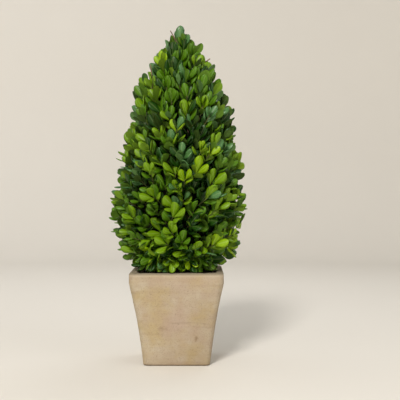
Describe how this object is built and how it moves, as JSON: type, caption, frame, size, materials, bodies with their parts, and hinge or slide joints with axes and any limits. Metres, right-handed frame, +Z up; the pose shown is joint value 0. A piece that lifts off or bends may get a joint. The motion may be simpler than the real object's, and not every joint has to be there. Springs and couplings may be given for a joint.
{
  "type": "clipped boxwood cone in a square planter",
  "caption": "Dense clipped cone of small oval evergreen leaves on a short stem, standing in a square tapered stone-coloured planter.",
  "frame": {"origin": "centre of the planter's flat underside", "axes": "+Z up along the plant, X and Y square to the planter's sides, -Y towards the viewer"},
  "size_m": [0.2153, 0.219, 0.5597],
  "materials": {
    "cast_stone": "matt weathered cast stone, sand coloured",
    "potting_mix": "coarse dark potting mix of bark and peat",
    "bark": "fine grey-brown bark",
    "leaves": "leathery evergreen leaves with a low gloss"
  },
  "bodies": {
    "root": {"planter": "cast_stone", "soil": "potting_mix", "stem": "bark", "crown": "leaves"}
  },
  "joints": []
}
